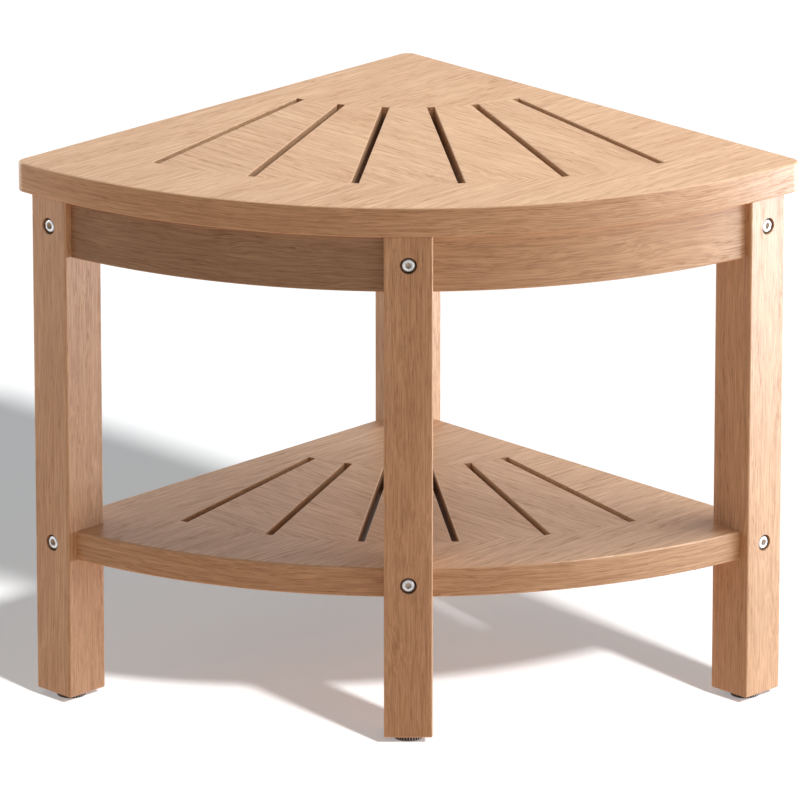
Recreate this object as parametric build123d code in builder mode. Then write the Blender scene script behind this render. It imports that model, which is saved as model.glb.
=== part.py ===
from build123d import *

import math
import os
from typing import NamedTuple

# Corner shower bench: a quarter-round slotted seat on four square legs, with a
# slotted shelf between the legs and a screw-in levelling foot under each leg.
#
# Millimetres, +Z up, floor at Z = 0. The bench faces -Y and is symmetric about
# X = 0. The origin is the middle of the seat's bounding box, on the floor. The
# two straight seat edges run along the walls of a room corner behind it.

# Seat and shelf boards
seat_height = 460.0
seat_radius = 457.0
seat_thickness = 25.0
seat_corner_radius = 10.0
board_arris = 1.5
shelf_height = 150.0
shelf_front_inset = 9.5
shelf_thickness = 25.0
shelf_wall_inset = 23.0

# Slots that fan out from the corner, and the slats between them
slot_count = 6
slot_width = 6.4
slot_arris = 0.6
seat_slot_inner_radius = 169.5
seat_rim_width = 67.5
shelf_slot_inner_radius = 152.5
shelf_rim_width = 65.5
lap_length = 12.0
lap_seam = 0.1

# Legs
leg_side = 40.0
leg_wall_inset = 17.0
leg_edge_inset = 0.3
leg_arris = 1.5
leg_foot_chamfer = 1.0

# Rails under the seat
rail_height = 48.0
rail_thickness = 20.0
rail_arris = 1.0
apron_inset = 7.0
apron_thickness = 20.0
centre_rail_width = 24.0
centre_rail_end_gap = 2.0

# Connector bolts with button heads, and their barrel nuts
bolt_diameter = 6.0
bolt_clearance = 0.3
long_bolt_length = 65.0
short_bolt_length = 60.0
head_diameter = 12.5
head_height = 3.8
head_flat_diameter = 8.6
head_skirt = 0.7
head_recess = 0.9
socket_across_flats = 5.0
socket_depth = 2.6
socket_lead = 0.35
counterbore_diameter = 14.0
nut_diameter = 10.0
nut_length = 14.0
nut_fit = 0.05
nut_end_room = 0.5
nut_slot_width = 1.4
nut_slot_depth = 1.2
rail_nut_setback = 24.0
shelf_nut_setback = 18.0
bolt_stagger = 9.0

# Wooden dowels in the rail ends
dowel_diameter = 8.0
dowel_length = 24.0
dowel_end_room = 0.5
dowel_chamfer = 0.8
dowel_spread = 14.0

# Wood screws that hold the seat from below
screw_diameter = 4.5
screw_length = 38.0
screw_head_diameter = 8.5
screw_head_height = 3.0
screw_point = 4.0
screw_counterbore_diameter = 10.0
screw_counterbore_depth = 26.0
screw_recess_width = 1.2
screw_recess_span = 5.0
screw_recess_depth = 1.8
rear_screw_margin = 70.0
apron_screw_angles = (14.0, 33.0)
board_screw_margin = 40.0
slat_screw_margin = 30.0

# Levelling feet
foot_height = 6.0
foot_diameter = 24.0
foot_chamfer = 0.8
rib_count = 32
rib_groove_radius = 0.75
stud_diameter = 8.0
stud_length = 24.0
stud_pitch = 1.25
stud_thread_depth = 0.6
stud_seat = 2.0
stud_core_room = 4.0
thread_fit = 0.05
insert_diameter = 12.0
insert_length = 14.0

# Places that follow from the sizes above
half_side = leg_side / 2
seat_underside = seat_height - seat_thickness
shelf_underside = shelf_height - shelf_thickness
shelf_middle = shelf_height - shelf_thickness / 2
rail_underside = seat_underside - rail_height
rail_middle = seat_underside - rail_height / 2
leg_length = seat_underside - foot_height
apron_radius = seat_radius - apron_inset
shelf_radius = seat_radius - shelf_front_inset
seat_slot_end = seat_radius - seat_rim_width
shelf_corner_shift = shelf_wall_inset * math.sqrt(2)
shelf_slot_end = shelf_radius - shelf_corner_shift - shelf_rim_width
corner_tip_gap = (math.sqrt(2) - 1) * seat_corner_radius
corner_y = (seat_radius + corner_tip_gap) / 2
slot_angles = [90.0 * (i + 1) / (slot_count + 1) for i in range(slot_count)]

toward_left = Vector(-1, -1, 0).normalized()
toward_right = Vector(1, -1, 0).normalized()
toward_front = Vector(0, -1, 0)
toward_side = Vector(1, 0, 0)
upward = Vector(0, 0, 1)

# Plan plane at the floor: its origin is where the seat's straight edges would
# meet, and its X and Y axes run along the left and the right wall.
room_corner = Plane(origin=(0, corner_y, 0), x_dir=toward_left, z_dir=upward)
shelf_corner = Plane(
    origin=room_corner.from_local_coords(
        Vector(shelf_wall_inset, shelf_wall_inset, 0)
    ),
    x_dir=toward_left,
    z_dir=upward,
)

# A side leg's outer corner lies just inside the curved edge of the seat.
leg_near = leg_wall_inset + half_side
leg_inner_face = leg_wall_inset + leg_side
leg_reach = seat_radius - leg_edge_inset
leg_far = math.sqrt(leg_reach**2 - leg_inner_face**2) - half_side
front_leg_distance = math.sqrt(leg_reach**2 - half_side**2) - half_side

left_leg = room_corner.from_local_coords(Vector(leg_far, leg_near, 0))
right_leg = room_corner.from_local_coords(Vector(leg_near, leg_far, 0))
back_leg = room_corner.from_local_coords(Vector(leg_near, leg_near, 0))
front_leg = Vector(0, corner_y - front_leg_distance, 0)


class Bolt(NamedTuple):
    """A bolt: its leg, the way it points, its height and the nut it meets."""

    leg: Vector
    travel: Vector
    height: float
    length: float
    nut_setback: float
    nut_mouth: Vector
    nut_mouth_distance: float


class Peg(NamedTuple):
    """A dowel: its leg, the way out of the leg's face, across and height."""

    leg: Vector
    outward: Vector
    across: float
    height: float


def rail_bolt(leg, travel, height, mouth, mouth_distance=rail_thickness / 2):
    """A long bolt that ends in a rail under the seat."""
    return Bolt(
        leg, travel, height, long_bolt_length, rail_nut_setback, mouth, mouth_distance
    )


def shelf_bolt(leg, travel):
    """A short bolt that ends in the shelf, its nut let in from below."""
    return Bolt(
        leg,
        travel,
        shelf_middle,
        short_bolt_length,
        shelf_nut_setback,
        -upward,
        shelf_thickness / 2,
    )


bolts = {
    "bolt_left_upper": rail_bolt(left_leg, -toward_left, rail_middle, toward_right),
    "bolt_left_lower": shelf_bolt(left_leg, -toward_left),
    "bolt_right_upper": rail_bolt(right_leg, -toward_right, rail_middle, toward_left),
    "bolt_right_lower": shelf_bolt(right_leg, -toward_right),
    "bolt_front_upper": rail_bolt(
        front_leg, -toward_front, rail_middle, toward_side, centre_rail_width / 2
    ),
    "bolt_front_lower": shelf_bolt(front_leg, -toward_front),
    "bolt_back_upper_left": rail_bolt(
        back_leg, toward_left, rail_middle + bolt_stagger, toward_right
    ),
    "bolt_back_upper_right": rail_bolt(
        back_leg, toward_right, rail_middle - bolt_stagger, toward_left
    ),
    "bolt_back_lower": shelf_bolt(back_leg, toward_left),
}

dowel_low = rail_middle - dowel_spread
dowel_high = rail_middle + dowel_spread


def apron_mid_at(offset):
    """Distance from the corner, along a face, to the middle of the apron."""
    outer = math.sqrt(apron_radius**2 - offset**2)
    inner = math.sqrt((apron_radius - apron_thickness) ** 2 - offset**2)
    return (outer + inner) / 2


apron_side_across = apron_mid_at(leg_inner_face) - leg_far
apron_front_across = apron_mid_at(half_side) - front_leg_distance

rail_pegs_left = [
    Peg(left_leg, -toward_left, 0, dowel_low),
    Peg(back_leg, toward_left, 0, dowel_low),
]
rail_pegs_right = [
    Peg(right_leg, -toward_right, 0, dowel_low),
    Peg(back_leg, toward_right, 0, dowel_high),
]
centre_pegs = [Peg(front_leg, -toward_front, 0, dowel_low)]
apron_pegs_left = [
    Peg(leg, outward, across, height)
    for leg, outward, across in (
        (left_leg, toward_right, -apron_side_across),
        (front_leg, -toward_side, apron_front_across),
    )
    for height in (dowel_low, dowel_high)
]
apron_pegs_right = [
    Peg(leg, outward, across, height)
    for leg, outward, across in (
        (right_leg, toward_left, apron_side_across),
        (front_leg, toward_side, -apron_front_across),
    )
    for height in (dowel_low, dowel_high)
]
all_pegs = (
    rail_pegs_left + rail_pegs_right + centre_pegs + apron_pegs_left + apron_pegs_right
)


def room_point(along, off):
    """World point at two distances along the walls, at floor level."""
    return room_corner.from_local_coords(Vector(along, off, 0))


def polar_room_point(radius, angle):
    """World point at a radius from the room corner; 0 degrees is the left wall."""
    turn = math.radians(angle)
    return room_point(radius * math.cos(turn), radius * math.sin(turn))


rear_screw_span = (leg_inner_face + rear_screw_margin, leg_far - half_side - rear_screw_margin)
rear_screws_left = [room_point(along, leg_near) for along in rear_screw_span]
rear_screws_right = [room_point(leg_near, along) for along in rear_screw_span]
apron_screw_radius = apron_radius - apron_thickness / 2
apron_screws_left = [
    polar_room_point(apron_screw_radius, angle) for angle in apron_screw_angles
]
apron_screws_right = [
    polar_room_point(apron_screw_radius, 90 - angle) for angle in apron_screw_angles
]
board_screw = polar_room_point(seat_slot_inner_radius - board_screw_margin, 45)
slat_screws = [
    polar_room_point(seat_slot_inner_radius + slat_screw_margin, 45),
    polar_room_point(seat_slot_end - slat_screw_margin, 45),
]
centre_screws = [board_screw] + slat_screws
all_screws = (
    rear_screws_left
    + rear_screws_right
    + apron_screws_left
    + apron_screws_right
    + centre_screws
)


def save(piece, name):
    """Label a finished sub-part and write its STEP file."""
    piece.part.label = name
    export_step(piece.part, f"parts/{name}.step")


def face_plane(leg, outward, height, across=0.0):
    """Plane on a leg's face, its normal pointing out of the leg."""
    sideways = upward.cross(outward)
    origin = leg + outward * half_side + sideways * across + upward * height
    return Plane(origin=origin, x_dir=upward, z_dir=outward)


def fan_corner(radius, angle, trim):
    """Point at a radius on a line beside the ray at an angle, in plan."""
    turn = math.radians(angle)
    ray = Vector(math.cos(turn), math.sin(turn))
    beside = Vector(-math.sin(turn), math.cos(turn))
    return ray * math.sqrt(radius**2 - trim**2) + beside * trim


def arc_between(start, end, radius):
    """Arc about the plan's origin from one point to another."""
    middle = (start + end).normalized() * radius
    return ThreePointArc(start, middle, end)


def fan_face(inner, outer, start, end, start_trim, end_trim):
    """Face between two radii and two rays, each side moved in by its trim."""
    near_start = fan_corner(inner, start, start_trim)
    far_start = fan_corner(outer, start, start_trim)
    far_end = fan_corner(outer, end, -end_trim)
    near_end = fan_corner(inner, end, -end_trim)
    with BuildLine() as outline:
        Line(near_start, far_start)
        arc_between(far_start, far_end, outer)
        Line(far_end, near_end)
        arc_between(near_end, near_start, inner)
    make_face(outline.edges())


def cut_slat_window(corner, top, thickness, start, end):
    """Cut the stepped window for the slats, and the slots beside them."""
    half_slot = slot_width / 2
    first = slot_angles[0]
    last = slot_angles[-1]
    with BuildSketch(corner.offset(top - thickness / 2)) as upper_window:
        fan_face(start, end, first, last, -half_slot, -half_slot)
    extrude(upper_window.sketch, amount=thickness / 2, mode=Mode.SUBTRACT)
    with BuildSketch(corner.offset(top - thickness)) as lower_window:
        inner = start + lap_length
        outer = end - lap_length
        fan_face(inner, outer, first, last, -half_slot, -half_slot)
    extrude(lower_window.sketch, amount=thickness / 2, mode=Mode.SUBTRACT)
    with BuildSketch(corner.offset(top - thickness)) as slots:
        for angle in slot_angles:
            fan_face(start, end, angle, angle, -half_slot, -half_slot)
    extrude(slots.sketch, amount=thickness, mode=Mode.SUBTRACT)


def make_slat(corner, top, thickness, start, end, index, screws=()):
    """One slat between two slots, its ends halved over the board's ledges."""
    half_slot = slot_width / 2
    first = slot_angles[index]
    last = slot_angles[index + 1]
    with BuildPart() as slat:
        with BuildSketch(corner.offset(top - thickness / 2)):
            inner = start + lap_seam
            outer = end - lap_seam
            fan_face(inner, outer, first, last, half_slot, half_slot)
        extrude(amount=thickness / 2)
        with BuildSketch(corner.offset(top - thickness)):
            inner = start + lap_length + lap_seam
            outer = end - lap_length - lap_seam
            fan_face(inner, outer, first, last, half_slot, half_slot)
        extrude(amount=thickness / 2)
        upper_edges = slat.edges().group_by(Axis.Z)[-1]
        chamfer(upper_edges.filter_by(GeomType.LINE), slot_arris)
        drill_screw_pilots(screws, top - thickness)
    return slat


def drill_screw_pilots(points, base):
    """Blind pilot holes for seat screws, drilled up from a board's underside."""
    bite = screw_length - (rail_height - screw_counterbore_depth)
    for point in points:
        mouth = Plane(origin=point + upward * base, x_dir=toward_side, z_dir=-upward)
        with Locations(mouth):
            Hole(radius=screw_diameter / 2 + thread_fit, depth=bite + nut_end_room)


def drill_screw_ways(points):
    """Counterbored screw ways through a rail, from its underside."""
    for point in points:
        origin = point + upward * rail_underside
        mouth = Plane(origin=origin, x_dir=toward_side, z_dir=-upward)
        with Locations(mouth):
            CounterBoreHole(
                radius=screw_diameter / 2 + thread_fit,
                counter_bore_radius=screw_counterbore_diameter / 2,
                counter_bore_depth=screw_counterbore_depth,
                depth=rail_height,
            )


def drill_bolt_in_leg(bolt):
    """Counterbored way through the leg, from the face that the head sits in."""
    with Locations(face_plane(bolt.leg, -bolt.travel, bolt.height)):
        CounterBoreHole(
            radius=bolt_diameter / 2 + bolt_clearance,
            counter_bore_radius=counterbore_diameter / 2,
            counter_bore_depth=head_recess + head_height,
            depth=leg_side,
        )


def nut_centre(bolt):
    """Where the bolt's axis crosses its barrel nut's axis."""
    depth = half_side + bolt.nut_setback
    return bolt.leg + bolt.travel * depth + upward * bolt.height


def nut_mouth_plane(bolt):
    """Plane at the mouth of the barrel nut's bore, normal out of the wood."""
    origin = nut_centre(bolt) + bolt.nut_mouth * bolt.nut_mouth_distance
    return Plane(origin=origin, x_dir=bolt.travel, z_dir=bolt.nut_mouth)


def drill_bolt_in_host(bolt):
    """Bolt hole from the joint face, and the barrel nut's cross bore."""
    face = face_plane(bolt.leg, bolt.travel, bolt.height)
    reach = bolt.length + head_recess + head_height - leg_side
    with Locations(Plane(origin=face.origin, x_dir=upward, z_dir=-bolt.travel)):
        Hole(radius=bolt_diameter / 2 + bolt_clearance, depth=reach + nut_end_room)
    with Locations(nut_mouth_plane(bolt)):
        Hole(
            radius=nut_diameter / 2 + nut_fit,
            depth=bolt.nut_mouth_distance + nut_length / 2 + nut_end_room,
        )


def drill_pegs_in_leg(pegs):
    """Dowel holes in a leg."""
    for peg in pegs:
        with Locations(face_plane(peg.leg, peg.outward, peg.height, peg.across)):
            Hole(
                radius=dowel_diameter / 2 + thread_fit,
                depth=dowel_length / 2 + dowel_end_room,
            )


def drill_pegs_in_host(pegs):
    """Dowel holes in the end of a rail, drilled from the leg's face."""
    for peg in pegs:
        face = face_plane(peg.leg, peg.outward, peg.height, peg.across)
        with Locations(Plane(origin=face.origin, x_dir=upward, z_dir=-peg.outward)):
            Hole(
                radius=dowel_diameter / 2 + thread_fit,
                depth=dowel_length / 2 + dowel_end_room,
            )


def make_seat_surround():
    """Quarter-round board with a stepped window for the seat slats."""
    with BuildPart() as surround:
        with BuildSketch(room_corner.offset(seat_underside)) as outline:
            with BuildLine():
                start = Vector(seat_radius, 0)
                end = Vector(0, seat_radius)
                Line((0, 0), start)
                arc_between(start, end, seat_radius)
                Line(end, (0, 0))
            make_face()
            fillet(outline.vertices(), seat_corner_radius)
        extrude(amount=seat_thickness)
        faces = surround.faces().filter_by(Axis.Z).sort_by(Axis.Z)
        fillet(faces[0].edges() + faces[-1].edges(), board_arris)
        cut_slat_window(
            room_corner, seat_height, seat_thickness, seat_slot_inner_radius, seat_slot_end
        )
        rim = surround.edges().filter_by(GeomType.LINE).group_by(Axis.Z)[-1]
        chamfer(rim.sort_by(SortBy.LENGTH)[:2], slot_arris)
        drill_screw_pilots(
            rear_screws_left
            + rear_screws_right
            + apron_screws_left
            + apron_screws_right
            + [board_screw],
            seat_underside,
        )
    return surround


def make_shelf_surround():
    """Shelf board, notched round all four legs, with its slat window."""
    base = shelf_underside
    with BuildPart() as surround:
        with BuildSketch(room_corner.offset(base)):
            with BuildLine():
                inset = shelf_wall_inset
                reach = math.sqrt(shelf_radius**2 - inset**2)
                Line((inset, inset), (reach, inset))
                arc_between(Vector(reach, inset), Vector(inset, reach), shelf_radius)
                Line((inset, reach), (inset, inset))
            make_face()
        extrude(amount=shelf_thickness)
        faces = surround.faces().filter_by(Axis.Z)
        fillet(faces.edges(), board_arris)
        with BuildSketch(room_corner.offset(base)):
            side_start = leg_far - half_side
            side_centre = side_start + leg_side
            with Locations((side_centre, leg_inner_face - leg_side)):
                Rectangle(2 * leg_side, 2 * leg_side)
            with Locations((leg_inner_face - leg_side, side_centre)):
                Rectangle(2 * leg_side, 2 * leg_side)
            with Locations((leg_near, leg_near)):
                Rectangle(leg_side, leg_side)
            diagonal = front_leg_distance / math.sqrt(2)
            with Locations((diagonal, diagonal)):
                Rectangle(leg_side, leg_side, rotation=45)
        extrude(amount=shelf_thickness, mode=Mode.SUBTRACT)
        cut_slat_window(
            shelf_corner, shelf_height, shelf_thickness, shelf_slot_inner_radius, shelf_slot_end
        )
        for name in (
            "bolt_left_lower",
            "bolt_right_lower",
            "bolt_front_lower",
            "bolt_back_lower",
        ):
            drill_bolt_in_host(bolts[name])
    return surround


def make_leg(leg, leg_bolts, leg_pegs, turn):
    """Square leg with its bolt ways, dowel holes and threaded-insert hole."""
    with BuildPart() as post:
        with BuildSketch(Plane(origin=leg + upward * foot_height)):
            RectangleRounded(leg_side, leg_side, leg_arris, rotation=turn)
        extrude(amount=leg_length)
        chamfer(post.edges().group_by(Axis.Z)[0], leg_foot_chamfer)
        for bolt in leg_bolts:
            drill_bolt_in_leg(bolt)
        drill_pegs_in_leg(leg_pegs)
        under = Plane(origin=leg + upward * foot_height, x_dir=toward_side, z_dir=-upward)
        with Locations(under):
            CounterBoreHole(
                radius=stud_diameter / 2 + bolt_clearance,
                counter_bore_radius=insert_diameter / 2,
                counter_bore_depth=insert_length,
                depth=stud_length + stud_core_room,
            )
    return post


def make_rear_rail_left():
    """Straight rail between the back leg and the left leg."""
    start = leg_inner_face
    end = leg_far - half_side
    with BuildPart() as rail:
        with BuildSketch(room_corner.offset(rail_underside)):
            with Locations(((start + end) / 2, leg_near)):
                Rectangle(end - start, rail_thickness)
        extrude(amount=rail_height)
        lower = rail.edges().group_by(Axis.Z)[0].sort_by(SortBy.LENGTH)[-2:]
        chamfer(lower, rail_arris)
        drill_bolt_in_host(bolts["bolt_left_upper"])
        drill_bolt_in_host(bolts["bolt_back_upper_left"])
        drill_pegs_in_host(rail_pegs_left)
        drill_screw_ways(rear_screws_left)
    return rail


def make_rear_rail_right():
    """Straight rail between the back leg and the right leg."""
    start = leg_inner_face
    end = leg_far - half_side
    with BuildPart() as rail:
        with BuildSketch(room_corner.offset(rail_underside)):
            with Locations((leg_near, (start + end) / 2)):
                Rectangle(rail_thickness, end - start)
        extrude(amount=rail_height)
        lower = rail.edges().group_by(Axis.Z)[0].sort_by(SortBy.LENGTH)[-2:]
        chamfer(lower, rail_arris)
        drill_bolt_in_host(bolts["bolt_right_upper"])
        drill_bolt_in_host(bolts["bolt_back_upper_right"])
        drill_pegs_in_host(rail_pegs_right)
        drill_screw_ways(rear_screws_right)
    return rail


def make_centre_rail():
    """Rail behind the front leg that carries the middle of the seat."""
    front = front_leg_distance - half_side
    back = leg_inner_face * math.sqrt(2) + centre_rail_end_gap
    with BuildPart() as rail:
        with BuildSketch(Plane(origin=(0, corner_y, rail_underside))):
            with Locations((0, -(front + back) / 2)):
                Rectangle(centre_rail_width, front - back)
        extrude(amount=rail_height)
        lower = rail.edges().group_by(Axis.Z)[0].sort_by(SortBy.LENGTH)[-2:]
        chamfer(lower, rail_arris)
        drill_bolt_in_host(bolts["bolt_front_upper"])
        drill_pegs_in_host(centre_pegs)
        drill_screw_ways(centre_screws)
    return rail


def make_apron_left():
    """Curved rail between the left leg and the front leg."""
    with BuildPart() as apron:
        with BuildSketch(room_corner.offset(rail_underside)):
            inner = apron_radius - apron_thickness
            fan_face(inner, apron_radius, 0, 45, leg_inner_face, half_side)
        extrude(amount=rail_height)
        lower = apron.edges().group_by(Axis.Z)[0].filter_by(GeomType.CIRCLE)
        chamfer(lower, rail_arris)
        drill_pegs_in_host(apron_pegs_left)
        drill_screw_ways(apron_screws_left)
    return apron


def make_apron_right():
    """Curved rail between the front leg and the right leg."""
    with BuildPart() as apron:
        with BuildSketch(room_corner.offset(rail_underside)):
            inner = apron_radius - apron_thickness
            fan_face(inner, apron_radius, 45, 90, half_side, leg_inner_face)
        extrude(amount=rail_height)
        lower = apron.edges().group_by(Axis.Z)[0].filter_by(GeomType.CIRCLE)
        chamfer(lower, rail_arris)
        drill_pegs_in_host(apron_pegs_right)
        drill_screw_ways(apron_screws_right)
    return apron


def make_bolt(bolt):
    """Button-head bolt with a hexagon socket, its head sunk in the leg."""
    face = face_plane(bolt.leg, -bolt.travel, bolt.height)
    head_top = face.offset(-head_recess)
    section = Plane(origin=head_top.origin, x_dir=upward, z_dir=bolt.travel.cross(upward))
    with BuildPart() as screw:
        with BuildSketch(section):
            with BuildLine():
                rim = Vector(head_diameter / 2, -head_height)
                skirt = Vector(head_diameter / 2, -head_height + head_skirt)
                flat = Vector(head_flat_diameter / 2, 0)
                shank = bolt_diameter / 2
                tip = -head_height - bolt.length
                Line((0, 0), flat)
                TangentArc(skirt, flat, tangent=(0, 1))
                Line(skirt, rim)
                Line(rim, (shank, -head_height))
                Line((shank, -head_height), (shank, tip + shank / 2))
                Line((shank, tip + shank / 2), (shank / 2, tip))
                Line((shank / 2, tip), (0, tip))
                Line((0, tip), (0, 0))
            make_face()
        revolve(axis=Axis(head_top.origin, bolt.travel))
        with BuildSketch(head_top):
            RegularPolygon(socket_across_flats / 2, 6, major_radius=False)
        extrude(amount=-socket_depth, mode=Mode.SUBTRACT)
        with BuildSketch(head_top):
            Circle(socket_across_flats / math.sqrt(3) + socket_lead)
        extrude(amount=-socket_lead, taper=45, mode=Mode.SUBTRACT)
    return screw


def make_barrel_nuts():
    """All the barrel nuts, each a slotted cylinder with a cross hole."""
    with BuildPart() as nuts:
        for bolt in bolts.values():
            mouth = nut_mouth_plane(bolt)
            top = mouth.offset(nut_length / 2 - bolt.nut_mouth_distance)
            with BuildSketch(top):
                Circle(nut_diameter / 2)
            extrude(amount=-nut_length)
            with BuildSketch(top):
                Rectangle(2 * nut_diameter, nut_slot_width)
            extrude(amount=-nut_slot_depth, mode=Mode.SUBTRACT)
            across = Plane(
                origin=nut_centre(bolt) - bolt.travel * nut_diameter,
                x_dir=bolt.nut_mouth,
                z_dir=bolt.travel,
            )
            with BuildSketch(across):
                Circle(bolt_diameter / 2 + thread_fit)
            extrude(amount=2 * nut_diameter, mode=Mode.SUBTRACT)
    return nuts


def make_dowels():
    """All the wooden dowels between the rails and the legs."""
    with BuildPart() as dowels:
        for peg in all_pegs:
            face = face_plane(peg.leg, peg.outward, peg.height, peg.across)
            with BuildSketch(face.offset(-dowel_length / 2)):
                Circle(dowel_diameter / 2)
            extrude(amount=dowel_length)
        chamfer(dowels.edges().filter_by(GeomType.CIRCLE), dowel_chamfer)
    return dowels


def make_screws():
    """All the wood screws that hold the seat to its rails."""
    head_seat = rail_underside + screw_counterbore_depth
    half_head = screw_head_diameter / 2
    half_shank = screw_diameter / 2
    with BuildPart() as screws:
        for point in all_screws:
            with BuildSketch(Plane(origin=point, x_dir=toward_side, z_dir=toward_front)):
                with BuildLine():
                    low = head_seat - screw_head_height
                    tip = head_seat + screw_length
                    Polyline(
                        (0, low),
                        (half_head * 0.7, low),
                        (half_head, low + screw_head_height / 2),
                        (half_head, head_seat),
                        (half_shank, head_seat),
                        (half_shank, tip - screw_point),
                        (0, tip),
                        close=True,
                    )
                make_face()
            revolve(axis=Axis(point, upward))
            with BuildSketch(Plane(origin=point + upward * (head_seat - screw_head_height))):
                Rectangle(screw_recess_span, screw_recess_width)
                Rectangle(screw_recess_width, screw_recess_span)
            extrude(amount=screw_recess_depth, mode=Mode.SUBTRACT)
    return screws


def make_foot_base(leg):
    """Ribbed disc that turns with the levelling screw."""
    with BuildPart() as base:
        with BuildSketch(Plane(origin=leg)):
            Circle(foot_diameter / 2)
            with PolarLocations(foot_diameter / 2, rib_count):
                Circle(rib_groove_radius, mode=Mode.SUBTRACT)
        extrude(amount=foot_height - foot_chamfer)
        with BuildSketch(Plane(origin=leg + upward * (foot_height - foot_chamfer))):
            Circle(foot_diameter / 2 - rib_groove_radius)
        extrude(amount=foot_chamfer)
        with BuildSketch(Plane(origin=leg + upward * stud_seat)):
            Circle(stud_diameter / 2 + thread_fit)
        extrude(amount=foot_height, mode=Mode.SUBTRACT)
    return base


def make_foot_stud(leg):
    """Threaded stud, its thread drawn as plain ridges."""
    crest = stud_diameter / 2
    root = crest - stud_thread_depth
    plain_end = foot_height
    ridges = int((stud_length - (plain_end - stud_seat)) / stud_pitch) - 1
    section = Plane(origin=leg, x_dir=toward_side, z_dir=toward_front)
    with BuildPart() as stud:
        with BuildSketch(section):
            with BuildLine():
                points = [(0, stud_seat), (crest, stud_seat), (crest, plain_end)]
                for i in range(ridges):
                    low = plain_end + i * stud_pitch
                    points.append((root, low + stud_pitch / 2))
                    points.append((crest, low + stud_pitch))
                top = stud_seat + stud_length
                points.append((crest, top - stud_thread_depth))
                points.append((root, top))
                points.append((0, top))
                Polyline(*points, close=True)
            make_face()
        revolve(axis=Axis(leg, upward))
    return stud


def make_foot_insert(leg):
    """Threaded steel insert pressed into the leg's end."""
    with BuildPart() as insert:
        with BuildSketch(Plane(origin=leg + upward * foot_height)):
            Circle(insert_diameter / 2)
            Circle(stud_diameter / 2 + thread_fit, mode=Mode.SUBTRACT)
        extrude(amount=insert_length)
    return insert


os.makedirs("parts", exist_ok=True)

save(make_seat_surround(), "seat_surround")
save(make_shelf_surround(), "shelf_surround")
middle_slat = (slot_count - 1) // 2
for index in range(slot_count - 1):
    save(
        make_slat(
            room_corner,
            seat_height,
            seat_thickness,
            seat_slot_inner_radius,
            seat_slot_end,
            index,
            slat_screws if index == middle_slat else (),
        ),
        f"seat_slat_{index + 1}",
    )
    save(
        make_slat(
            shelf_corner,
            shelf_height,
            shelf_thickness,
            shelf_slot_inner_radius,
            shelf_slot_end,
            index,
        ),
        f"shelf_slat_{index + 1}",
    )

legs = {"left": left_leg, "right": right_leg, "front": front_leg, "back": back_leg}
for side, place in legs.items():
    own_bolts = [bolt for bolt in bolts.values() if bolt.leg is place]
    own_pegs = [peg for peg in all_pegs if peg.leg is place]
    turn = 0 if side == "front" else 45
    save(make_leg(place, own_bolts, own_pegs, turn), f"leg_{side}")
    save(make_foot_base(place), f"foot_base_{side}")
    save(make_foot_stud(place), f"foot_stud_{side}")
    save(make_foot_insert(place), f"foot_insert_{side}")

save(make_rear_rail_left(), "rear_rail_left")
save(make_rear_rail_right(), "rear_rail_right")
save(make_centre_rail(), "centre_rail")
save(make_apron_left(), "apron_left")
save(make_apron_right(), "apron_right")

for name, bolt in bolts.items():
    save(make_bolt(bolt), name)
save(make_barrel_nuts(), "barrel_nuts")
save(make_dowels(), "rail_dowels")
save(make_screws(), "seat_screws")
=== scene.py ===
"""Looks for the corner shower bench: oiled hardwood, steel bolts and black levelling feet.

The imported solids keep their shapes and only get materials. Everything is in metres in the
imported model's frame: +Z up, the curved front towards -Y.
"""

import math

import bpy
import numpy as np
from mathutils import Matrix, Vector

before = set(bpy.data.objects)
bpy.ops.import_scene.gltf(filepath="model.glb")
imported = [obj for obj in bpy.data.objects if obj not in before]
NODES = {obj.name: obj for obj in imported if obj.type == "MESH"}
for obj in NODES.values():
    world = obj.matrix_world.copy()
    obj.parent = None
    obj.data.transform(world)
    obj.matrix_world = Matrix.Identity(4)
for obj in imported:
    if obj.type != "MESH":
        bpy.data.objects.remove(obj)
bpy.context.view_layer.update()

# Where the seat's two straight edges would meet, which is the centre of every curve
SEAT_CORNER_Y = 0.230571
CORNER = (0.0, SEAT_CORNER_Y, 0.0)
SEAT_RADIUS = 0.457
APRON_RADIUS = 0.450
SHELF_RADIUS = 0.4475
SEAT_TOP = 0.460
SHELF_TOP = 0.150

HALF = math.sqrt(0.5)
ALONG_LEFT_WALL = (HALF, HALF, 0.0)
ALONG_RIGHT_WALL = (HALF, -HALF, 0.0)
FROM_RIGHT_WALL = (-HALF, -HALF, 0.0)
SIDEWAYS = (1.0, 0.0, 0.0)
BACKWARDS = (0.0, 1.0, 0.0)
FORWARDS = (0.0, -1.0, 0.0)
UP = (0.0, 0.0, 1.0)


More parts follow.
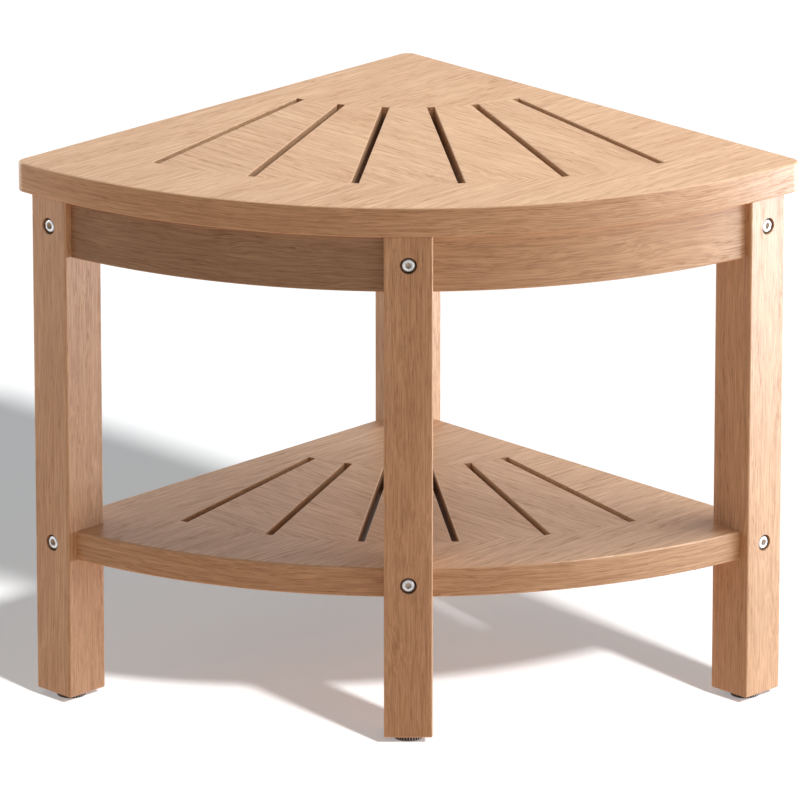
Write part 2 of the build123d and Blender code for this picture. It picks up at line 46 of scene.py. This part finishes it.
class Field:
    """A number that varies over a surface. Arithmetic on it adds Math nodes."""

    def __init__(self, nodes, socket):
        self.nodes = nodes
        self.socket = socket

    def maths(self, operation, *others):
        return self.nodes.maths(operation, self, *others)

    def __add__(self, other):
        return self.maths("ADD", other)

    __radd__ = __add__

    def __sub__(self, other):
        return self.maths("SUBTRACT", other)

    def __rsub__(self, other):
        return self.nodes.maths("SUBTRACT", other, self)

    def __mul__(self, other):
        return self.maths("MULTIPLY", other)

    __rmul__ = __mul__

    def __truediv__(self, other):
        return self.maths("DIVIDE", other)

    def __pow__(self, other):
        return self.maths("POWER", other)

    def __abs__(self):
        return self.maths("ABSOLUTE")

    def root(self):
        return self.maths("SQRT")

    def above(self, limit):
        """1 where the field is above a limit, 0 elsewhere."""
        return self.maths("GREATER_THAN", limit)

    def ramp(self, low, high):
        """0 at low, 1 at high, with a smooth ease between; low may be above high."""
        node = self.nodes.node(
            "ShaderNodeMapRange",
            {"interpolation_type": "SMOOTHSTEP", "clamp": True},
            {"Value": self, "From Min": low, "From Max": high},
        )
        return Field(self.nodes, node.outputs[0])


class Nodes:
    """The shader nodes of one node tree, and the fields that start from its points."""

    def __init__(self, tree, coordinates):
        self.tree = tree
        place = self.node("ShaderNodeTexCoord").outputs
        self.point = place[coordinates]
        self.normal = place["Normal"]

    def node(self, kind, settings=None, inputs=None):
        """Add a node: its settings first, then the values or links of its sockets."""
        made = self.tree.nodes.new(kind)
        for key, value in (settings or {}).items():
            setattr(made, key, value)
        for key, value in (inputs or {}).items():
            socket = made.inputs[key]
            if isinstance(value, Field):
                value = value.socket
            if isinstance(value, bpy.types.NodeSocket):
                self.tree.links.new(value, socket)
            else:
                socket.default_value = value
        return made

    def maths(self, operation, *values):
        """Arithmetic on fields, sockets and plain numbers."""
        made = self.node(
            "ShaderNodeMath", {"operation": operation}, dict(enumerate(values))
        )
        return Field(self, made.outputs[0])

    def dot(self, vector, direction):
        """How far a vector reaches along a direction."""
        made = self.node(
            "ShaderNodeVectorMath",
            {"operation": "DOT_PRODUCT"},
            {0: vector, 1: direction},
        )
        return Field(self, made.outputs["Value"])

    def along(self, direction, origin=(0.0, 0.0, 0.0)):
        """Distance of the surface point along a direction, from an origin."""
        moved = self.node(
            "ShaderNodeVectorMath", {"operation": "SUBTRACT"}, {0: self.point, 1: origin}
        )
        return self.dot(moved.outputs[0], direction)

    def axes(self, origin=(0.0, 0.0, 0.0)):
        """The three coordinates of the surface point, from an origin."""
        return [self.along(axis, origin) for axis in (SIDEWAYS, BACKWARDS, UP)]

    def facing(self, direction):
        """How far the surface faces along a direction: 1 towards it, -1 away."""
        return self.dot(self.normal, direction)

    def noise(self, place, detail, roughness=0.5):
        """Smooth noise, about 0 to 1, at a point given by three numbers."""
        point = self.node("ShaderNodeCombineXYZ", None, dict(enumerate(place)))
        made = self.node(
            "ShaderNodeTexNoise",
            None,
            {
                "Vector": point.outputs[0],
                "Scale": 1.0,
                "Detail": detail,
                "Roughness": roughness,
            },
        )
        return Field(self, made.outputs[0])

    def blend(self, factor, first, second):
        """Mix two colours by a factor: 0 gives the first, 1 the second."""
        made = self.node(
            "ShaderNodeMix", {"data_type": "RGBA"}, {0: factor, 6: first, 7: second}
        )
        return made.outputs[2]


class Finish(Nodes):
    """A material that is built up from nodes and ends in one surface shader."""

    def __init__(self, name):
        self.material = bpy.data.materials.new(name)
        self.material.use_nodes = True
        self.material.node_tree.nodes.clear()
        super().__init__(self.material.node_tree, "Object")

    def bump(self, height, distance, strength):
        made = self.node(
            "ShaderNodeBump",
            None,
            {"Height": height, "Distance": distance, "Strength": strength},
        )
        return made.outputs[0]

    def surface(self, inputs):
        """Join the inputs to the surface shader, and return the material."""
        shader = self.node("ShaderNodeBsdfPrincipled", None, inputs)
        output = self.node("ShaderNodeOutputMaterial")
        self.tree.links.new(shader.outputs[0], output.inputs["Surface"])
        return self.material


def rgb(red, green, blue):
    return (red, green, blue, 1.0)


def tinted(colour, tone):
    """A colour made darker or lighter by a tone, 1 for no change."""
    return rgb(*(channel * tone for channel in colour))


# Wood: colours, and the widths and lengths of its figure
WOOD_LIGHT = (0.780, 0.488, 0.284)
WOOD_MID = (0.645, 0.370, 0.198)
WOOD_DARK = (0.340, 0.138, 0.052)
# Painted shade: the dark colour that slot walls turn to with depth
SLOT_PAINTED_SHADE = (0.10, 0.048, 0.024)
BOARD_FIGURE = 1.25
RING_WIDTH = 0.0030
RING_LENGTH = 0.50
FIBRE_WIDTH = 0.00088
FIBRE_LENGTH = 0.040
THREAD_WIDTH = 0.0019
THREAD_LENGTH = 0.070
PORE_WIDTH = 0.00095
PORE_LENGTH = 0.0125
PATCH_WIDTH = 0.045
PATCH_LENGTH = 0.14
WANDER_WIDTH = 0.05
WANDER_LENGTH = 0.16
WANDER_REACH = 0.018
RIPPLE_WIDTH = 0.010
RIPPLE_LENGTH = 0.022
RIPPLE_REACH = 0.0009
DEPTH_SHARE = 0.6

# How far the middle of the tree lay from a board, a leg and an apron
BOARD_PITH = 0.09
LEG_PITH = 0.12
APRON_PITH = 0.14
PITH_OFFSET = 0.4

# Noise levels between which each mark of the figure comes in
OPEN_LEVELS = (0.38, 0.66)
LATE_LEVELS = (0.34, 0.70)
STREAK_LEVELS = (0.34, 0.68)
DASH_LEVELS = (0.50, 0.72)
PORE_LEVELS = (0.57, 0.68)
PATCH_LEVELS = (0.3, 0.7)
WEAR_LEVELS = (0.25, 0.55)
CLOSED_PORES = 0.30
EVEN_WEAR = 0.4

# How much of the wood's own colour each mark covers, and how pale or dark the mark is
LATE_COVER = 0.50
PATCH_COVER = 0.35
STREAK_COVER = 0.50
DASH_COVER = 0.20
PORE_COVER = 0.40
# The paler edges are partly wear and partly a painted highlight
WEAR_AND_HIGHLIGHT_COVER = 0.45
# The slot walls are darkened with painted shade
SLOT_COVER = 0.84
PORE_SHADE = 0.85
WEAR_AND_HIGHLIGHT_TONE = 1.12

# Cosines of the turn of the surface: flat to paler edge, top to rim, and top to slot wall
EDGE_TURN = (0.985, 0.90)
RIM_TURN = (0.85, 0.6)
SLOT_TURN = (0.75, 0.5)

OILED_ROUGHNESS = 0.37
OILED_IOR = 1.50
GRAIN_DEPTH = 0.0003
GRAIN_STRENGTH = 0.35

# Where the bent grain starts, and the slots: how far inside the curved edge they end and
# start, how far from the straight edges they stay, and the depths where painted shade
# darkens their walls
RIM_DEPTH = 0.004
SLOT_OUTER = 0.040
SLOT_INNER = 0.325
SLOT_FADE = 0.015
SLOT_WALL_MARGIN = 0.030
SLOT_LIP = 0.0005
SLOT_DARK_DEPTH = 0.015


def straight_grain(nodes, direction):
    """Grain coordinates of a straight stick: along it and two ways across it."""
    along = Vector(direction)
    side = Vector(UP) if abs(along.z) < 0.5 else Vector(SIDEWAYS)
    across = along.cross(side).normalized()
    depth = along.cross(across).normalized()
    return nodes.along(along), nodes.along(across), nodes.along(depth)


def bent_grain(nodes, radius):
    """Grain coordinates that follow a circle about the corner: arc, height, radial."""
    x = nodes.along(SIDEWAYS)
    y = nodes.along(FORWARDS, CORNER)
    arc = nodes.maths("ARCTAN2", x, y) * radius
    radial = (x * x + y * y).root() - radius
    return arc, nodes.along(UP), radial


def wide_grain(nodes, direction):
    """Straight grain of a wide board, with a coarser figure than a stick's."""
    return [place / BOARD_FIGURE for place in straight_grain(nodes, direction)]


def board_grain(nodes, direction, radius):
    """Straight grain on the flat of a board, and bent grain round its curved rim."""
    flat = wide_grain(nodes, direction)
    bent = bent_grain(nodes, radius)
    upright = abs(nodes.facing(UP)).ramp(*RIM_TURN)
    rim = upright * bent[2].above(-RIM_DEPTH)
    return [straight + (curved - straight) * rim for straight, curved in zip(flat, bent)]


def painted_slot_shade(nodes, top, radius):
    """Where painted shade darkens a slot's walls: 0 outside and at its lip, 1 at full
    shade.
    """
    radial = bent_grain(nodes, radius)[2]
    upright = abs(nodes.facing(UP)).ramp(*SLOT_TURN)
    zone = radial.ramp(-SLOT_OUTER, -SLOT_OUTER - SLOT_FADE)
    zone = zone * radial.ramp(-SLOT_INNER, -SLOT_INNER + SLOT_FADE)
    left = nodes.along(ALONG_RIGHT_WALL, CORNER)
    right = nodes.along(FROM_RIGHT_WALL, CORNER)
    inside = nodes.maths("MINIMUM", left, right).above(SLOT_WALL_MARGIN)
    sunk = nodes.along(UP).ramp(top - SLOT_LIP, top - SLOT_DARK_DEPTH)
    return upright * zone * inside * sunk


def drift(nodes, place, width, length, seed, detail):
    """A slow sway of the grain to either side, -0.5 to 0.5."""
    along, across, depth = place
    sway = nodes.noise((along / length, across / width, depth / width + seed), detail)
    return sway - 0.5


def figure(nodes, place, width, length, seed, detail=2.0, roughness=0.5):
    """Noise of a width across the grain, drawn out to a length along it."""
    along, across, depth = place
    spot = (across / width, depth / width, along / length + seed)
    return nodes.noise(spot, detail, roughness)


def flatness_of(nodes, faces):
    """1 where the surface lies along one of a piece's flat faces, less on its edges.

    Given one direction alone, every side that stands upright to it also counts as flat.
    """
    turns = [abs(nodes.facing(axis)) for axis in faces]
    if len(faces) == 1:
        turns.append((1.0 - turns[0] ** 2.0).root())
    flatness = turns[0]
    for turn in turns[1:]:
        flatness = nodes.maths("MAXIMUM", flatness, turn)
    return flatness


def wood(name, grain, tone, seed, pith=BOARD_PITH, faces=(UP,), slots=None):
    """Oiled hardwood: growth rings about a far pith, fibre streaks and open pores.

    Rings are noise along the distance from the pith, which wanders along the grain, so
    they run to points where the cut grazes them. Pores are noise drawn out along the
    grain and kept only where it peaks, more of them in the open half of each ring.
    Edges, painted paler partly as wear and partly as a painted highlight, are the places
    whose normal stands between the piece's flat faces.
    """
    finish = Finish(name)
    place = along, across, depth = grain(finish)
    wander = drift(finish, place, WANDER_WIDTH, WANDER_LENGTH, seed, 2.0)
    ripple = drift(finish, place, RIPPLE_WIDTH, RIPPLE_LENGTH, seed, 1.0)
    shift = wander * WANDER_REACH + ripple * RIPPLE_REACH
    swayed = along, across + shift, depth + shift * DEPTH_SHARE
    from_pith = (swayed[1] + pith * PITH_OFFSET) ** 2.0 + (swayed[2] + pith) ** 2.0
    rings = (from_pith.root() / RING_WIDTH, along / RING_LENGTH, seed)
    bands = finish.noise(rings, 2.0, 0.55)
    fibres = figure(finish, swayed, FIBRE_WIDTH, FIBRE_LENGTH, seed, roughness=0.62)
    threads = figure(finish, swayed, THREAD_WIDTH, THREAD_LENGTH, seed)
    patches = figure(finish, place, PATCH_WIDTH, PATCH_LENGTH, seed)
    specks = figure(finish, swayed, PORE_WIDTH, PORE_LENGTH, seed, 1.0, 0.45)
    open_half = bands.ramp(*OPEN_LEVELS)
    late_wood = bands.ramp(*LATE_LEVELS)
    streaks = fibres.ramp(*STREAK_LEVELS)
    dashes = threads.ramp(*DASH_LEVELS) * open_half
    pores = specks.ramp(*PORE_LEVELS) * (CLOSED_PORES + open_half * (1.0 - CLOSED_PORES))
    # Paler edges: partly wear, partly a painted highlight on the arrises
    wear_and_highlight = flatness_of(finish, faces).ramp(*EDGE_TURN)
    wear_and_highlight = wear_and_highlight * (patches.ramp(*WEAR_LEVELS) * (1.0 - EVEN_WEAR) + EVEN_WEAR)

    colour = finish.blend(
        late_wood * LATE_COVER + patches.ramp(*PATCH_LEVELS) * PATCH_COVER,
        tinted(WOOD_LIGHT, tone),
        tinted(WOOD_MID, tone),
    )
    layers = (
        (streaks * STREAK_COVER, WOOD_DARK, 1.0),
        (dashes * DASH_COVER, WOOD_DARK, 1.0),
        (pores * PORE_COVER, WOOD_DARK, PORE_SHADE),
        (wear_and_highlight * WEAR_AND_HIGHLIGHT_COVER, WOOD_LIGHT, WEAR_AND_HIGHLIGHT_TONE),
    )
    for cover, layer, shade in layers:
        colour = finish.blend(cover, colour, tinted(layer, tone * shade))
    # Slot walls are painted darker with depth, as painted shade
    if slots:
        colour = finish.blend(slots(finish) * SLOT_COVER, colour, rgb(*SLOT_PAINTED_SHADE))
    height = fibres * 0.55 - pores * 0.9 - dashes * 0.3 - late_wood * 0.15
    return finish.surface(
        {
            "Base Color": colour,
            "Roughness": OILED_ROUGHNESS + fibres * 0.12 + pores * 0.20 - wear_and_highlight * 0.08,
            "Normal": finish.bump(height, GRAIN_DEPTH, GRAIN_STRENGTH),
            "IOR": OILED_IOR,
        }
    )


# Steel: colours and roughness, and the radii and depths of a bolt head's parts
PLAIN_STEEL = (0.58, 0.575, 0.565)
PLAIN_ROUGHNESS = 0.34
BOLT_STEEL = (0.94, 0.95, 0.97)
BOLT_ROUGHNESS = 0.34
# Dark colour of the shade painted round a bolt head's rim, and of its faint stains
RING_SHADE_AND_STAIN = (0.030, 0.026, 0.024)
# Pale colour painted on the floor of a bolt's socket as light
SOCKET_FLOOR = (0.72, 0.64, 0.56)
RIM_START = 0.0047
RIM_FULL = 0.0056
SOCKET_EDGE = 0.0033
SOCKET_FULL = 0.0030
SOCKET_START = 0.0006
SOCKET_DEEP = 0.0014
CLOUD_SIZE = 0.004
SCRATCH_WIDTH = 0.0004
SCRATCH_LENGTH = 0.003
SCRATCH_DEPTH = 0.00003
SCRATCH_STRENGTH = 0.25
DULL_LEVELS = (0.35, 0.75)
DULL_COVER = 0.4
DULL_SHADE = 0.72
STAIN_LEVELS = (0.5, 0.7)
STAIN_COVER = 0.10
# Cover of the shade painted round a head's rim, and the share of the socket floor's painted
# light that is not metallic
RING_SHADE_COVER = 0.90
SOCKET_LIGHT_SHARE = 0.8


def steel(name, colour, roughness, bolt=None):
    """Satin stainless steel with fine turning marks and dull patches.

    A bolt is given by the middle, direction and half length of its node. A dark ring is
    painted round the rim of its head as shade, with faint stains, and the floor of its
    socket is painted pale as light.
    """
    finish = Finish(name)
    x, y, z = finish.axes()
    cloud = finish.noise([part / CLOUD_SIZE for part in (x, y, z)], 3.0, 0.6)
    marks = (x / SCRATCH_WIDTH, y / SCRATCH_WIDTH, z / SCRATCH_LENGTH)
    scratch = finish.noise(marks, 2.0, 0.6)
    dull = cloud.ramp(*DULL_LEVELS) * DULL_COVER
    base = finish.blend(dull, rgb(*colour), tinted(colour, DULL_SHADE))
    metallic = 1.0
    if bolt:
        middle, direction, half_length = bolt
        down = finish.along(direction, middle)
        x, y, z = finish.axes(middle)
        out = (x * x + y * y + z * z - down * down).root()
        # Painted shade: a dark ring round the rim of the head, with faint stains added from
        # the cloud
        ring_shade_and_stains = out.ramp(RIM_START, RIM_FULL) * RING_SHADE_COVER
        ring_shade_and_stains = ring_shade_and_stains + cloud.ramp(*STAIN_LEVELS) * STAIN_COVER
        base = finish.blend(ring_shade_and_stains, base, rgb(*RING_SHADE_AND_STAIN))
        # Painted light: the floor of the socket is painted pale and made less metallic
        deep = abs(down).ramp(half_length - SOCKET_START, half_length - SOCKET_DEEP)
        deep = deep * out.ramp(SOCKET_EDGE, SOCKET_FULL)
        base = finish.blend(deep, base, rgb(*SOCKET_FLOOR))
        metallic = 1.0 - (ring_shade_and_stains + deep * SOCKET_LIGHT_SHARE)
    return finish.surface(
        {
            "Base Color": base,
            "Metallic": metallic,
            "Roughness": roughness + cloud * 0.10 + scratch * 0.08,
            "Normal": finish.bump(scratch, SCRATCH_DEPTH, SCRATCH_STRENGTH),
        }
    )


# Levelling feet: colours, the sizes of their texture, and the radii between which the
# floor of a groove turns into the crest of a rib, where the crest is painted pale as a
# highlight
BLACK_PLASTIC = (0.010, 0.010, 0.011)
# Pale colour of dust, and of the highlight painted on the crests of the ribs
PALE_DUST_AND_HIGHLIGHT = (0.500, 0.490, 0.480)
GRIT_SIZE = 0.0004
DUST_WIDTH = 0.006
DUST_HEIGHT = 0.003
RIB_START = 0.01145
RIB_CREST = 0.01190
PLASTIC_ROUGHNESS = 0.34
GRIT_DEPTH = 0.00004
GRIT_STRENGTH = 0.4


def plastic(name, middle):
    """Black moulded plastic with a fine spark-eroded texture, faint dust, and a painted
    highlight on the ribs.
    """
    finish = Finish(name)
    x, y, _ = finish.axes(middle)
    z = finish.along(UP)
    grit = finish.noise([part / GRIT_SIZE for part in (x, y, z)], 2.0, 0.6)
    spots = (x / DUST_WIDTH, y / DUST_WIDTH, z / DUST_HEIGHT)
    dust = finish.noise(spots, 3.0, 0.6).ramp(*DULL_LEVELS)
    # Crests of the ribs painted pale as a highlight, with dust mixed in
    ribs = (x * x + y * y).root().ramp(RIB_START, RIB_CREST)
    dust_and_highlight = dust * 0.10 + ribs * (0.55 + dust * 0.30)
    return finish.surface(
        {
            "Base Color": finish.blend(dust_and_highlight, rgb(*BLACK_PLASTIC), rgb(*PALE_DUST_AND_HIGHLIGHT)),
            "Roughness": PLASTIC_ROUGHNESS + grit * 0.16,
            "Normal": finish.bump(grit, GRIT_DEPTH, GRIT_STRENGTH),
        }
    )


def spread_of(node):
    """Middle, longest direction and half length of a node, from its points."""
    mesh = NODES[node].data
    points = np.empty(len(mesh.vertices) * 3)
    mesh.vertices.foreach_get("co", points)
    points = points.reshape(-1, 3)
    middle = (points.min(0) + points.max(0)) / 2
    longest = np.linalg.svd(points - points.mean(0), full_matrices=False)[2][0]
    half_length = np.abs((points - middle) @ longest).max()
    return tuple(middle.tolist()), tuple(longest.tolist()), float(half_length)


def dress(node, material):
    """Give a CAD node a material in all of its slots."""
    mesh = NODES[node].data
    if not mesh.materials:
        mesh.materials.append(material)
    for index in range(len(mesh.materials)):
        mesh.materials[index] = material


# Board, height of its top, radius, tone and seed of its figure
BOARDS = (
    ("seat", SEAT_TOP, SEAT_RADIUS, 1.0, 3.1),
    ("shelf", SHELF_TOP, SHELF_RADIUS, 0.97, 11.7),
)
SLAT_TONES = (0.985, 1.02, 0.995, 1.03, 0.99)
SLAT_SEED_START = 15.0
SLAT_SEED_STEP = 2.3

# Place, tone and seed
LEGS = (
    ("left", 0.98, 60.0),
    ("right", 0.97, 63.7),
    ("front", 0.99, 67.4),
    ("back", 0.96, 71.1),
)
# The left apron is painted much darker than the right as painted shade, not as a tone of
# its wood
APRONS = (("left", 0.62, 80.0), ("right", 0.94, 85.1))

# Node, direction of its grain and seed
RAILS = (
    ("rear_rail_left", ALONG_LEFT_WALL, 95.0),
    ("rear_rail_right", ALONG_RIGHT_WALL, 99.3),
    ("centre_rail", BACKWARDS, 103.6),
)
RAIL_TONE = 0.94
DOWEL_TONE = 1.05
DOWEL_SEED = 7.0


def dress_boards():
    """Seat and shelf: one grain in the surround, the other across it in the slats."""
    for board, top, radius, tone, seed in BOARDS:

        # Painted shade on the walls of this board's slots
        def slots(nodes, z=top, r=radius):
            return painted_slot_shade(nodes, z, r)

        def around(nodes, r=radius):
            return board_grain(nodes, ALONG_LEFT_WALL, r)

        def across(nodes):
            return wide_grain(nodes, ALONG_RIGHT_WALL)

        name = f"{board}_surround"
        dress(name, wood(f"{name}_wood", around, tone, seed, slots=slots))
        for index, shift in enumerate(SLAT_TONES):
            name = f"{board}_slat_{index + 1}"
            start = seed * 2.0 + SLAT_SEED_START + index * SLAT_SEED_STEP
            dress(name, wood(f"{name}_wood", across, tone * shift, start, slots=slots))


def dress_sticks():
    """Legs, aprons and rails, each with a figure of its own, and the dowels."""
    turned = (ALONG_LEFT_WALL, ALONG_RIGHT_WALL, UP)
    square = (SIDEWAYS, BACKWARDS, UP)

    def upright(nodes):
        return straight_grain(nodes, UP)

    def round_the_front(nodes):
        return bent_grain(nodes, APRON_RADIUS)

    def along_left_wall(nodes):
        return straight_grain(nodes, ALONG_LEFT_WALL)

    for side, tone, seed in LEGS:
        name = f"leg_{side}"
        faces = square if side == "front" else turned
        dress(name, wood(f"{name}_wood", upright, tone, seed, LEG_PITH, faces))
    for side, tone, seed in APRONS:
        name = f"apron_{side}"
        dress(name, wood(f"{name}_wood", round_the_front, tone, seed, APRON_PITH))
    for name, direction, seed in RAILS:

        def lengthwise(nodes, d=direction):
            return straight_grain(nodes, d)

        dress(name, wood(f"{name}_wood", lengthwise, RAIL_TONE, seed))
    dress("rail_dowels", wood("dowel_wood", along_left_wall, DOWEL_TONE, DOWEL_SEED))


def dress_hardware():
    """Bolts and feet have materials of their own, and hidden steel shares one."""
    plain_steel = steel("plain_steel", PLAIN_STEEL, PLAIN_ROUGHNESS)
    for node in NODES:
        if node.startswith("bolt_"):
            spread = spread_of(node)
            dress(node, steel(f"{node}_steel", BOLT_STEEL, BOLT_ROUGHNESS, spread))
        elif node.startswith("foot_base"):
            dress(node, plastic(f"{node}_plastic", spread_of(node)[0]))
        elif node.startswith(("foot_stud", "foot_insert", "barrel_nuts", "seat_screws")):
            dress(node, plain_steel)


dress_boards()
dress_sticks()
dress_hardware()


# Floor: its size and height, its colour to the camera and in mirrors, the colour of the
# light that it throws back, and the light that lifts its shadows for the camera
FLOOR_HALF_WIDTH = 14.0
FLOOR_LEVEL = -0.0002
FLOOR_SEEN = (0.86, 0.86, 0.86)
FLOOR_WARM = (0.76, 0.55, 0.41)
FLOOR_LIFT = (0.275, 0.29, 0.298)


def make_floor():
    """Plain pale floor just under the feet.

    It throws a warm light back on the bench, as the bench's own surroundings do in the
    photo, and its shadows are lifted where the camera sees them.
    """
    mesh = bpy.data.meshes.new("floor")
    corners = np.array([(-1, -1), (1, -1), (1, 1), (-1, 1)], float) * FLOOR_HALF_WIDTH
    points = np.column_stack([corners, np.full(4, FLOOR_LEVEL)])
    mesh.from_pydata(points.tolist(), [], [(0, 1, 2, 3)])
    floor = bpy.data.objects.new("floor", mesh)
    bpy.context.scene.collection.objects.link(floor)
    finish = Finish("floor_white")
    rays = finish.node("ShaderNodeLightPath").outputs
    seen = rays["Is Camera Ray"]
    bounced = rays["Is Diffuse Ray"]
    finish.surface(
        {
            "Base Color": finish.blend(bounced, rgb(*FLOOR_SEEN), rgb(*FLOOR_WARM)),
            "Roughness": 0.9,
            "Specular IOR Level": 0.0,
            "Emission Color": finish.blend(seen, rgb(0, 0, 0), rgb(*FLOOR_LIFT)),
            "Emission Strength": 1.0,
        }
    )
    mesh.materials.append(finish.material)
    return floor


# World: its strength as a light, its strength in mirrors on the camera's side, and the
# direction and turns between which mirrors see it brighten to white
AMBIENT = 0.15
DIM_SIDE = 0.32
BRIGHT_SIDE = (0.0, 0.92, 0.38)
BRIGHT_TURN = (-0.45, 0.55)


def make_world():
    """Studio surroundings: dim as a light, white where they are seen.

    In reflections they are white behind and above the bench, and dim on the side of
    the camera, as in a studio whose lamps and white walls stand behind the object.
    """
    world = bpy.data.worlds.new("studio")
    bpy.context.scene.world = world
    world.use_nodes = True
    walls = Nodes(world.node_tree, "Generated")
    background = walls.tree.nodes["Background"]
    rays = walls.node("ShaderNodeLightPath").outputs
    seen = walls.maths("MAXIMUM", rays["Is Camera Ray"], rays["Is Transmission Ray"])
    shiny = Field(walls, rays["Is Glossy Ray"])
    behind = walls.along(BRIGHT_SIDE).ramp(*BRIGHT_TURN)
    mirrored = behind * (1.0 - DIM_SIDE) + DIM_SIDE
    strength = shiny * (mirrored - AMBIENT) + seen * (1.0 - AMBIENT) + AMBIENT
    walls.tree.links.new(strength.socket, background.inputs["Strength"])
    background.inputs["Color"].default_value = rgb(1.0, 1.0, 1.0)


def toward(azimuth, elevation):
    """Direction to a lamp. Azimuth 0 is in front of the bench, 90 on its right."""
    turn = math.radians(azimuth)
    rise = math.radians(elevation)
    level = math.cos(rise)
    return Vector((math.sin(turn) * level, -math.cos(turn) * level, math.sin(rise)))


def lamp(name, kind, place, aim, power, colour):
    """A lamp that stands at a place and points at its aim."""
    data = bpy.data.lights.new(name, kind)
    data.energy = power
    data.color = colour
    thing = bpy.data.objects.new(name, data)
    thing.rotation_euler = (place - aim).to_track_quat("Z", "Y").to_euler()
    thing.location = place
    bpy.context.scene.collection.objects.link(thing)
    return thing


COOL = (0.90, 1.00, 1.10)
ICY = (0.86, 1.00, 1.16)
CLEAR = (1.00, 1.00, 1.00)
WARM = (1.07, 1.00, 0.88)

# Name, azimuth, distance from the bench's axis, height of its middle, height that it
# faces on the axis, its own width and height, power in watts, and colour
PANELS = (
    ("right_low", 98.0, 1.5, 0.13, 0.13, 1.2, 0.22, 21.0, ICY),
    ("right_front", 60.0, 1.4, 0.42, 0.42, 0.9, 0.84, 4.5, CLEAR),
    ("right_back", 110.0, 1.4, 0.42, 0.42, 0.9, 0.84, 1.5, CLEAR),
    ("left_back", -115.0, 1.6, 0.65, 0.65, 0.9, 1.3, 14.5, COOL),
    ("top_middle", 0.0, 0.0, 1.9, 0.46, 0.9, 0.9, 9.0, WARM),
    ("top_right", 90.0, 1.0, 1.4, 0.46, 0.9, 0.9, 16.5, COOL),
)

# The sun's direction, power and width in degrees
SUN_AZIMUTH = 38.2
SUN_ELEVATION = 36.0
SUN_POWER = 4.0
SUN_SPREAD = 5.0
SUN_DISTANCE = 3.0


def make_lights(floor):
    """Soft panels on the bench, and a sun that only casts its shadow on the floor."""
    all_but_floor = bpy.data.collections.new("bench_light")
    all_but_floor.objects.link(floor)
    all_but_floor.collection_objects[0].light_linking.link_state = "EXCLUDE"
    for name, azimuth, distance, z, aim_z, width, height, power, colour in PANELS:
        place = toward(azimuth, 0.0) * distance + Vector((0.0, 0.0, z))
        panel = lamp(name, "AREA", place, Vector((0.0, 0.0, aim_z)), power, colour)
        panel.data.shape = "RECTANGLE"
        panel.data.size = width
        panel.data.size_y = height
        panel.visible_camera = False
        panel.light_linking.receiver_collection = all_but_floor
    floor_only = bpy.data.collections.new("floor_light")
    floor_only.objects.link(floor)
    place = toward(SUN_AZIMUTH, SUN_ELEVATION) * SUN_DISTANCE
    sun = lamp("floor_light", "SUN", place, Vector(), SUN_POWER, CLEAR)
    sun.data.angle = math.radians(SUN_SPREAD)
    sun.light_linking.receiver_collection = floor_only


# The camera that was solved from the photograph. Its lens and sensor are in millimetres
CAMERA_PLACE = (-0.0068, -7.7847, 2.7672)
CAMERA_DIP = 18.094
LENS_LENGTH = 441.5
SENSOR_WIDTH = 36.0
CAMERA_REACH = 100.0


def make_camera():
    """Long lens from the front, a little above, as in the photograph."""
    lens = bpy.data.cameras.new("camera")
    lens.sensor_width = SENSOR_WIDTH
    lens.lens = LENS_LENGTH
    lens.clip_end = CAMERA_REACH
    camera = bpy.data.objects.new("camera", lens)
    camera.location = CAMERA_PLACE
    camera.rotation_euler = (math.radians(90.0 - CAMERA_DIP), 0.0, 0.0)
    bpy.context.scene.collection.objects.link(camera)
    bpy.context.scene.camera = camera


make_world()
make_lights(make_floor())
make_camera()
bpy.context.scene.view_settings.view_transform = "Standard"
